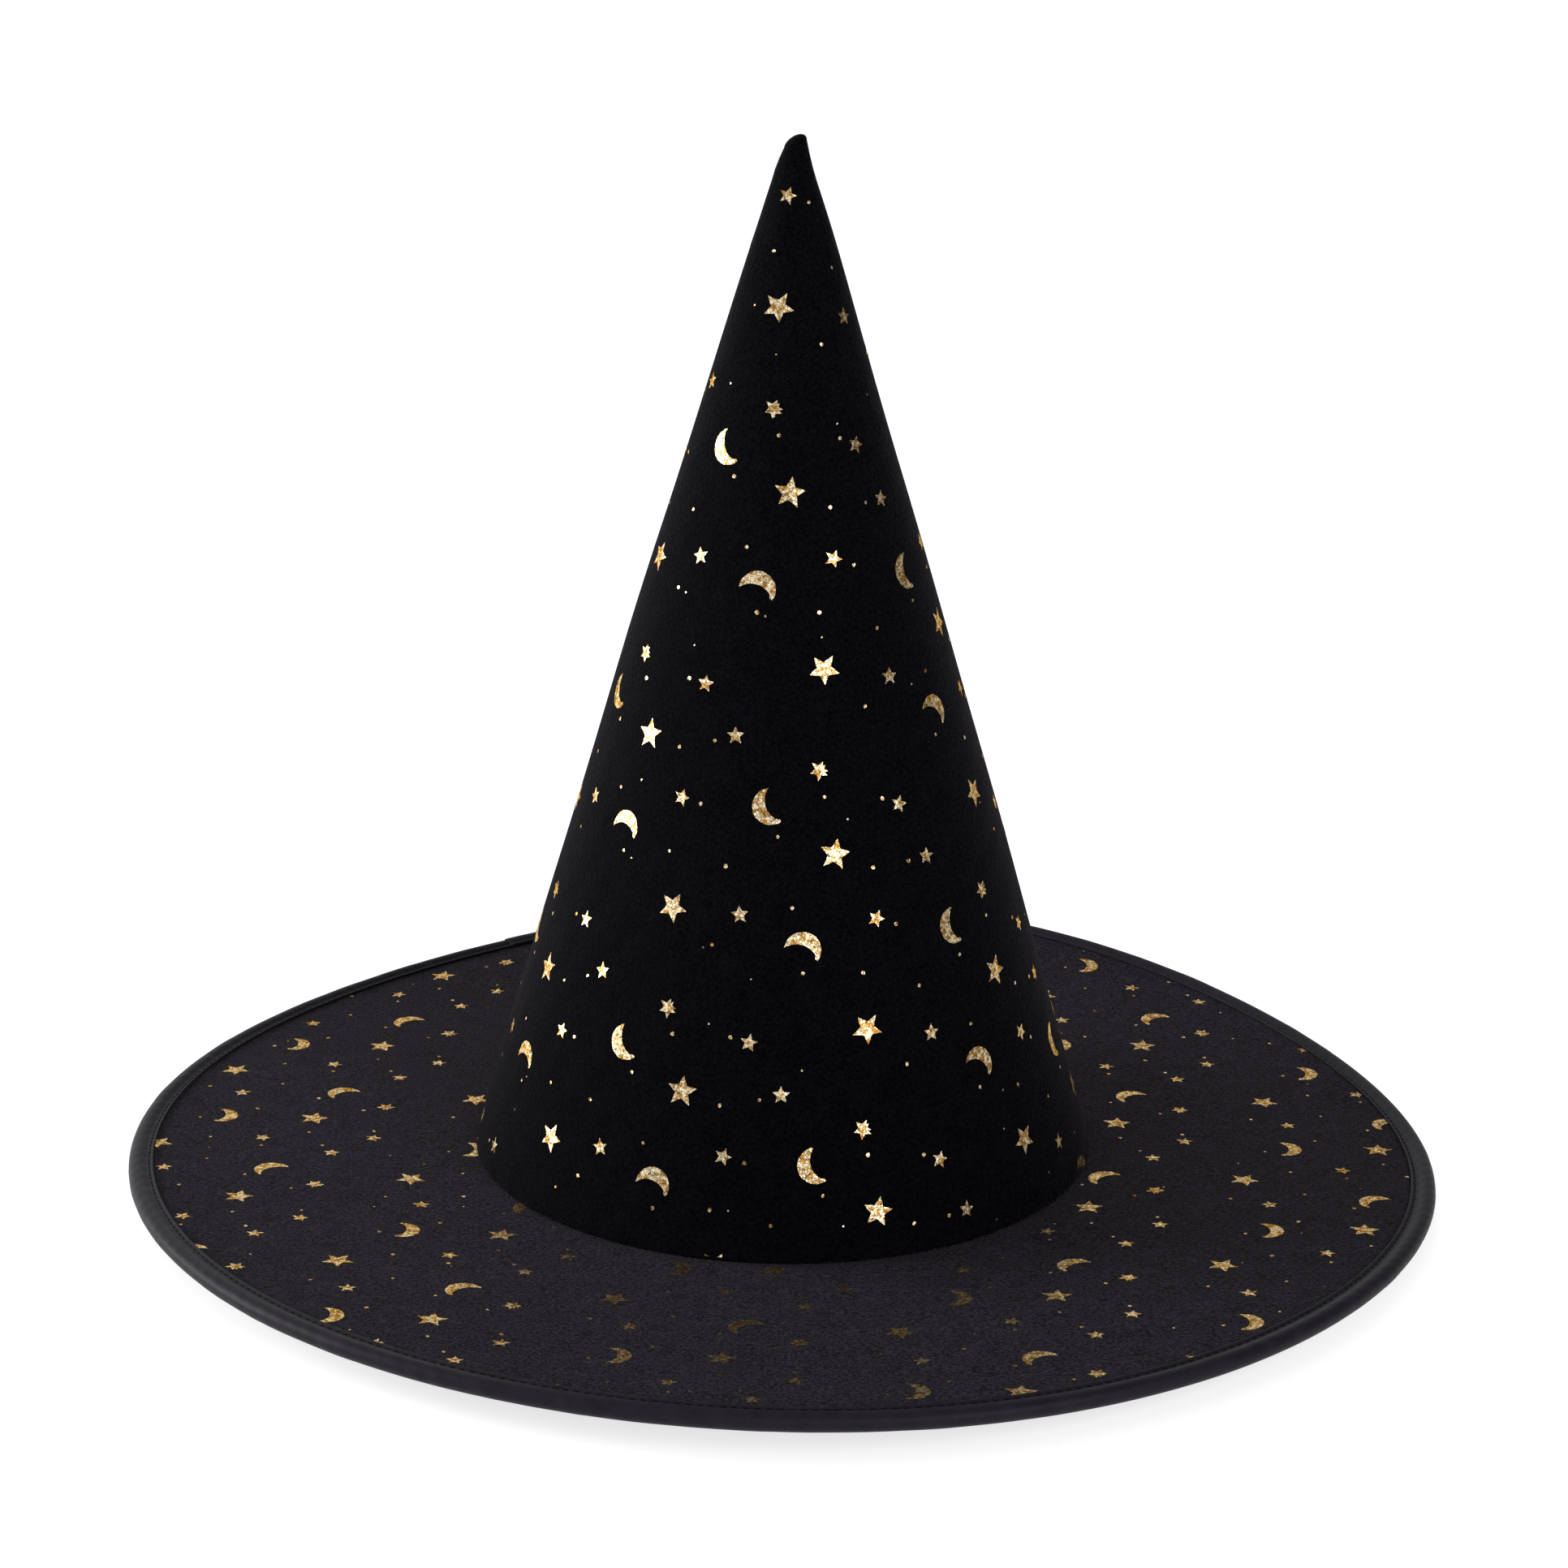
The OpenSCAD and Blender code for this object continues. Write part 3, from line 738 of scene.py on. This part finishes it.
# %% Wad in the point
WAD_TOP = crown_z(TIP_R, FOLD_DEPTH)
WAD_H = 24.0
bm = bmesh.new()
bmesh.ops.create_cone(bm, cap_ends=True, cap_tris=False, segments=32, depth=WAD_H,
                      radius1=crown_r(WAD_TOP - WAD_H, FOLD_DEPTH + 0.1), radius2=TIP_R - 0.1)
rings = [edge for edge in bm.edges if abs(edge.verts[0].co.z - edge.verts[1].co.z) > 1]
bmesh.ops.subdivide_edges(bm, edges=rings, cuts=14, use_grid_fill=True)
base = [face for face in bm.faces if face.normal.z < -0.9]
bmesh.ops.inset_individual(bm, faces=base, thickness=2.2, depth=0.0)
bmesh.ops.poke(bm, faces=[face for face in bm.faces if face.normal.z < -0.9 and len(face.verts) > 4])
bmesh.ops.translate(bm, vec=(0, 0, WAD_TOP - WAD_H / 2), verts=bm.verts)
for vert in bm.verts:
    crumple = noise.noise(vert.co / 3.0)
    low = smoothstep(WAD_TOP - WAD_H + 6, WAD_TOP - WAD_H, vert.co.z)
    vert.co.z += low * 1.2 * max(0.0, crumple + 0.4)
    vert.co.x *= 1 - 0.06 * abs(crumple)
    vert.co.y *= 1 - 0.06 * abs(crumple)
bmesh.ops.recalc_face_normals(bm, faces=bm.faces)
flatten(bm, lambda r, a, z: (a * r, z))
move_all(bm, to_crown)
wad = piece_from(bm, "point_wad", crown_velveteen_painted_shade, ("tip_wad",))

# %% Clipped tabs and sweatband
TAB_COUNT = 24
TAB_H = 12.0
TAB_CUT = 3.2
tab_half = math.pi / TAB_COUNT - TAB_CUT / 2 / BRIM_HOLE_R
bm = turn([(crown_r(z, FOLD_DEPTH), z) for z in (0.15 + (TAB_H - 0.15) * k / 6 for k in range(7))],
          6, 2 * tab_half, -tab_half)
whole = list(bm.verts) + list(bm.edges) + list(bm.faces)
bmesh.ops.spin(bm, geom=whole, cent=(0, 0, 0), axis=(0, 0, 1), steps=TAB_COUNT - 1, use_duplicate=True,
               angle=2 * math.pi * (TAB_COUNT - 1) / TAB_COUNT)
face_towards(bm, away)
flatten(bm, lambda r, a, z: (a * BRIM_HOLE_R, z))
move_all(bm, to_crown)
tabs = piece_from(bm, "brim_cloth_tabs", brim_velveteen_painted_light, ("brim_turned_tabs",), 0.95)

BAND_T = 0.85
band_foot = box_mm("sweatband")[0][2] - BRIM_TOP


def band_profile(depth, z0, z1, rows):
    return [(crown_r(z, depth), z) for z in (z0 + (z1 - z0) * k / rows for k in range(rows + 1))]


upright_r = crown_r(BAND_FOOT_Z, BAND_DEPTH)
lower = [(upright_r, band_foot + (BAND_FOOT_Z - band_foot) * k / 6) for k in range(6)]
bm = turn(lower + band_profile(BAND_DEPTH, BAND_FOOT_Z, BAND_H, 12), RING_STEPS)
face_towards(bm, away)
flatten(bm, lambda r, a, z: (a * upright_r, z), seam=BACK_SEAM)
move_all(bm, to_crown)
band = piece_from(bm, "sweatband_ribbon", grosgrain, ("sweatband",), BAND_T)

BAND_LAP_L = 22.0
lap_half = BAND_LAP_L / 2 / upright_r
bm = turn(band_profile(LAP_DEPTH, BAND_FOOT_Z + 0.4, BAND_H, 12), 16, 2 * lap_half, BACK_SEAM - lap_half)
face_towards(bm, away)
flatten(bm, lambda r, a, z: (a * upright_r, z))
move_all(bm, to_crown)
band_lap = piece_from(bm, "sweatband_ribbon_lap", grosgrain, ("sweatband_lap",), BAND_T)

thread_z = BAND_FOOT_Z + 1.0
bm = stitch_ring(crown_r(thread_z, LAP_DEPTH) + 0.02 - THREAD_D / 2, thread_z,
                 skip_angle=2 * lap_half + 0.02, start=BACK_SEAM)
move_all(bm, to_crown)
piece_from(bm, "sweatband_stitches", sewing_thread, ("sweatband_thread",))

# %% [markdown]
# ## The foil print
# The cloth was printed before it was cut: stars, crescents and dots in a repeat that leans on the cloth. One
# repeat is written down once, in millimetres of flat cloth, and laid over the brim and, turned, over the
# opened-out cone, so motifs are cut off at the binding and at the crown's foot as on the real hat.

# %% One repeat of the print
STEP_ACROSS = Vector((79.35, -19.3))
STEP_DOWN = Vector((-14.0, -65.5))
FIRST_STAR = Vector((-132.8, 75.7))
BIG_STAR_R = 4.6
SMALL_STAR_R = 2.65
MOON_R = 5.3
# Each motif has its place from the first star, and in degrees the direction of a point or of its bulge.
# A crescent also says on which side its blunter tip lies.
BIG_STARS = [((0, 0), 82), ((34.9, -45), -85)]
MOONS = [((6.9, 21.8), 130, -1), ((50.3, -19.6), -3, 1)]
SMALL_STARS = [((21.3, 12.4), -80), ((54, 0.6), 95), ((20, -14), 80), ((8.8, -27.6), 90),
               ((6.8, -53.4), -95), ((65.8, -37), 70)]
DOTS = [(-0.6, 17), (43, 5.4), (65.7, 9), (19.7, -8.4), (0, -11.9), (60.8, -12.8), (66.2, -43.4),
        (5.4, -22.2), (44.1, -21.8), (0.5, -57.2), (49.8, -38.4)]
print(f"one repeat covers {STEP_ACROSS.x * -STEP_DOWN.y + STEP_ACROSS.y * STEP_DOWN.x:.0f} square mm")

# %% Motif shapes
def star_edge(angle):
    """Distance to the outline of a five-pointed star of radius 1 with slightly full sides."""
    inner = 0.46
    part = abs(math.remainder(angle, 2 * math.pi / 5)) / (math.pi / 5)
    corner = Vector((inner * math.cos(math.pi / 5), inner * math.sin(math.pi / 5)))
    across = part * math.pi / 5
    side = corner - Vector((1, 0))
    return side.y / (side.y * math.cos(across) - side.x * math.sin(across))


def star_shape(radius, segments, rings, rng):
    bm = bmesh.new()
    bmesh.ops.create_circle(bm, cap_ends=True, cap_tris=True, segments=segments, radius=1.0)
    if rings > 1:
        spokes = [e for e in bm.edges if min(v.co.length for v in e.verts) < 0.01]
        bmesh.ops.subdivide_edges(bm, edges=spokes, cuts=rings - 1)
    for vert in bm.verts:
        far = vert.co.length
        rough = 1 + rng.uniform(-0.045, 0.045) * (far > 0.99)
        vert.co *= radius * star_edge(math.atan2(vert.co.x, vert.co.y)) * rough if far > 0.01 else 1
    bmesh.ops.rotate(bm, verts=bm.verts, cent=(0, 0, 0), matrix=Matrix.Rotation(-math.pi / 2, 3, "Z"))
    return bm


MOON_SEGMENTS = 20
MOON_BANDS = 4
# Half of the crescent's outer arc, and so its tips, turned back past the half circle
MOON_REACH = math.radians(104)


def moon_shape(radius, rng, hand):
    """A crescent from a bent grid: its bulge towards +X, one tip finer than the other."""
    bm = bmesh.new()
    bmesh.ops.create_grid(bm, x_segments=MOON_SEGMENTS, y_segments=MOON_BANDS, size=1.0)
    tip_y = radius * math.sin(MOON_REACH)
    inner_r = 1.19 * radius
    inner_reach = math.asin(tip_y / inner_r)
    inner_x = radius * math.cos(MOON_REACH) - inner_r * math.cos(inner_reach)
    for vert in bm.verts:
        along, across = vert.co.x, (vert.co.y + 1) / 2
        a = MOON_REACH * along
        outer = Vector((radius * math.cos(a), radius * math.sin(a), 0))
        b = inner_reach * along
        inner = Vector((inner_x + inner_r * math.cos(b), inner_r * math.sin(b), 0))
        blunt = smoothstep(-0.7, -1.0, along * hand) * 0.16 * radius
        across_blunt = Vector((-math.cos(a), -math.sin(a), 0)) * blunt * (1 - across)
        rough = rng.uniform(-0.02, 0.02) if across in (0, 1) else 0.0
        vert.co = (inner.lerp(outer, across) + across_blunt) * (1 + rough)
    return bm


def dot_shape(radius, rng):
    bm = bmesh.new()
    bmesh.ops.create_circle(bm, cap_ends=True, cap_tris=True, segments=7, radius=radius)
    for vert in bm.verts:
        vert.co *= 1 + rng.uniform(-0.2, 0.2)
    return bm


print("motif shapes ready")

# %% Laying the motifs
FOIL_LIFT = 0.06
CLOTH_REACH = range(-7, 8)


def motifs(rng):
    """Yields the shape and the place on the cloth of every motif near the pattern pieces."""
    for i in CLOTH_REACH:
        for j in CLOTH_REACH:
            cell = FIRST_STAR + i * STEP_ACROSS + j * STEP_DOWN
            for place, way in BIG_STARS:
                yield star_shape(BIG_STAR_R, 30, 3, rng), cell + Vector(place), way, BIG_STAR_R
            for place, way, hand in MOONS:
                yield moon_shape(MOON_R, rng, hand), cell + Vector(place), way, MOON_R
            for place, way in SMALL_STARS:
                yield star_shape(SMALL_STAR_R, 20, 2, rng), cell + Vector(place), way, SMALL_STAR_R
            for place in DOTS:
                yield dot_shape(rng.uniform(0.48, 0.66), rng), cell + Vector(place), 0, 1.0
            for k in range(3):
                stray = Vector((rng.uniform(0, 80), rng.uniform(-66, 0)))
                yield dot_shape(rng.uniform(0.25, 0.36), rng), cell + stray, 0, 0.4


def print_on(name, seed, reaches, place):
    """Puts all motifs that reach a cloth on it, by place(flat x, flat y) for each of their points."""
    rng = random.Random(seed)
    bm = bmesh.new()
    scratch = bpy.data.meshes.new("one motif")
    for shape, spot, way, size in motifs(rng):
        if reaches(spot, size):
            bmesh.ops.rotate(shape, verts=shape.verts, cent=(0, 0, 0),
                             matrix=Matrix.Rotation(math.radians(way), 3, "Z"))
            bmesh.ops.translate(shape, vec=(spot.x, spot.y, 0), verts=shape.verts)
            bmesh.ops.recalc_face_normals(shape, faces=shape.faces)
            shape.to_mesh(scratch)
            bm.from_mesh(scratch)
        shape.free()
    bpy.data.meshes.remove(scratch)
    for vert in bm.verts:
        vert.co = place(vert.co.x, vert.co.y)
    bmesh.ops.dissolve_degenerate(bm, dist=0.01, edges=bm.edges)
    return piece_from(bm, name, foil)


def on_brim_cloth(spot, size):
    x, y = spot
    inside = math.hypot(x, y - CROWN_BACK) < CROWN_R - size
    return math.hypot(x, y) < STACK_R + size and not inside


def foil_on_brim(x, y):
    """Flat cloth lies on the brim as it is, held between the crown's foot and the edge of the cloth."""
    r = math.hypot(x, y)
    for _ in range(4):
        level_y = y - CROWN_BACK * (1 - outward(r))
        r = math.hypot(x, level_y)
    held = min(STACK_R - 0.3, max(CROWN_R - 0.6, r)) / r
    return brim_place(x * held, level_y * held, BRIM_HALF_T + FOIL_LIFT)


print_on("brim_foil_print", 11, on_brim_cloth, foil_on_brim)

# %% The print on the cone
CUT_POINT = Vector((-28.2, 110.7))
CUT_TURN = -1.2465


def on_cone(x, y):
    """Slant distance from the cone's point and direction on the hat, for a place on the flat cloth."""
    off = Vector((x, y)) - CUT_POINT
    u = off.x * math.cos(CUT_TURN) + off.y * math.sin(CUT_TURN)
    w = off.x * math.sin(CUT_TURN) - off.y * math.cos(CUT_TURN)
    return math.hypot(u, w), math.atan2(u, w) / math.sin(SLANT_HALF)


def on_crown_cloth(spot, size):
    slant, turned = on_cone(*spot)
    height = APEX_H - slant * math.cos(SLANT_HALF)
    aside = (abs(turned) - math.pi) * math.sin(SLANT_HALF) * slant
    return -size < height < CROWN_H - 3 and aside < size


def foil_on_crown(x, y):
    slant, turned = on_cone(x, y)
    z = max(1.2, APEX_H - slant * math.cos(SLANT_HALF))
    # No foil lies within 0.9 mm of the back seam, where the cloth is turned in
    limit = math.pi - 0.9 / max(4.0, crown_r(min(z, CROWN_H - 4)))
    a = -BACK_SEAM + max(-limit, min(limit, turned))
    top = crown_z(TIP_R)
    r = crown_r(z) if z < top else crown_r(top) * math.sqrt(max(0.0, (CROWN_H - z) / (CROWN_H - top)))
    lift = FOIL_LIFT / math.cos(SLANT_HALF)
    return seam_relief((r + lift) * math.cos(a), (r + lift) * math.sin(a), z)


print_on("crown_foil_print", 23, on_crown_cloth, foil_on_crown)

# %% [markdown]
# ## Studio
# The hat stands on a pale floor under a white sky that is brightest at the left and behind. A soft light low
# at the left draws the sheen down the crown's side, and one in front at the right lights the foil.

# %% Floor, lights and camera
def soft_light(name, power, size, place, target):
    lamp = bpy.data.lights.new(name, "AREA")
    lamp.energy = power
    lamp.size = size
    holder = bpy.data.objects.new(name, lamp)
    bpy.context.collection.objects.link(holder)
    way = Vector(target) - Vector(place)
    holder.matrix_world = Matrix.Translation(place) @ way.to_track_quat("-Z", "Y").to_matrix().to_4x4()


FLOOR_HALF = 9.0
bm = bmesh.new()
bmesh.ops.create_grid(bm, x_segments=1, y_segments=1, size=FLOOR_HALF)
bmesh.ops.translate(bm, vec=(0, 0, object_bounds()[0][2]), verts=bm.verts)
floor_mesh = bpy.data.meshes.new("floor")
bm.to_mesh(floor_mesh)
bm.free()
floor = bpy.data.objects.new("floor", floor_mesh)
bpy.context.collection.objects.link(floor)
paper, tree = new_material("matt_white_paper")
paper_face = add_node(tree, "ShaderNodeBsdfDiffuse", {"Color": (0.5, 0.5, 0.5, 1)})
glow = add_node(tree, "ShaderNodeEmission", {"Color": (1, 1, 1, 1), "Strength": 0.7})
both = add_node(tree, "ShaderNodeAddShader", {0: paper_face.outputs["BSDF"], 1: glow.outputs["Emission"]})
show(tree, both.outputs["Shader"])
floor_mesh.materials.append(paper)

world = bpy.data.worlds.new("studio")
world.use_nodes = True
sky = world.node_tree
sky_way = add_node(sky, "ShaderNodeSeparateXYZ", {
    0: add_node(sky, "ShaderNodeTexCoord").outputs["Generated"]}).outputs
# Brightest at the left, as in the photograph, and behind the hat, where the foil on the brim mirrors it
sky_light = add_node(sky, "ShaderNodeMath", {0: stretch(sky, sky_way["X"], -0.4, 0.7, 0.9, 0.12),
                                             1: stretch(sky, sky_way["Y"], 0.3, 0.95, 1.0, 1.4)},
                     operation="MULTIPLY").outputs["Value"]
background = sky.nodes["Background"]
background.inputs["Color"].default_value = (1, 1, 1, 1)
sky.links.new(sky_light, background.inputs["Strength"])
bpy.context.scene.world = world
soft_light("left softbox", 40, 1.0, (-1.9, 0.3, 0.5), (0, 0, 0.12))
soft_light("front softbox", 40, 1.6, (1.3, -1.9, 1.2), (0, 0, 0.15))

VIEW_UP = math.radians(17.5)
VIEW_DISTANCE = 1.086665
VIEW_ROLL = math.radians(0.662)
AIM = Vector((-0.0009, 0.0, BRIM_TOP * MM + 0.11646))
camera_data = bpy.data.cameras.new("camera")
camera_data.sensor_width = 36.0
camera_data.lens = 82.91
camera = bpy.data.objects.new("camera", camera_data)
bpy.context.collection.objects.link(camera)
eye = AIM + VIEW_DISTANCE * Vector((0, -math.cos(VIEW_UP), math.sin(VIEW_UP)))
camera.matrix_world = (Matrix.Translation(eye) @ Matrix.Rotation(math.pi / 2 - VIEW_UP, 4, "X")
                       @ Matrix.Rotation(VIEW_ROLL, 4, "Z"))
bpy.context.scene.camera = camera
bpy.context.scene.view_settings.view_transform = "Standard"
print("camera at", [round(c, 3) for c in eye])
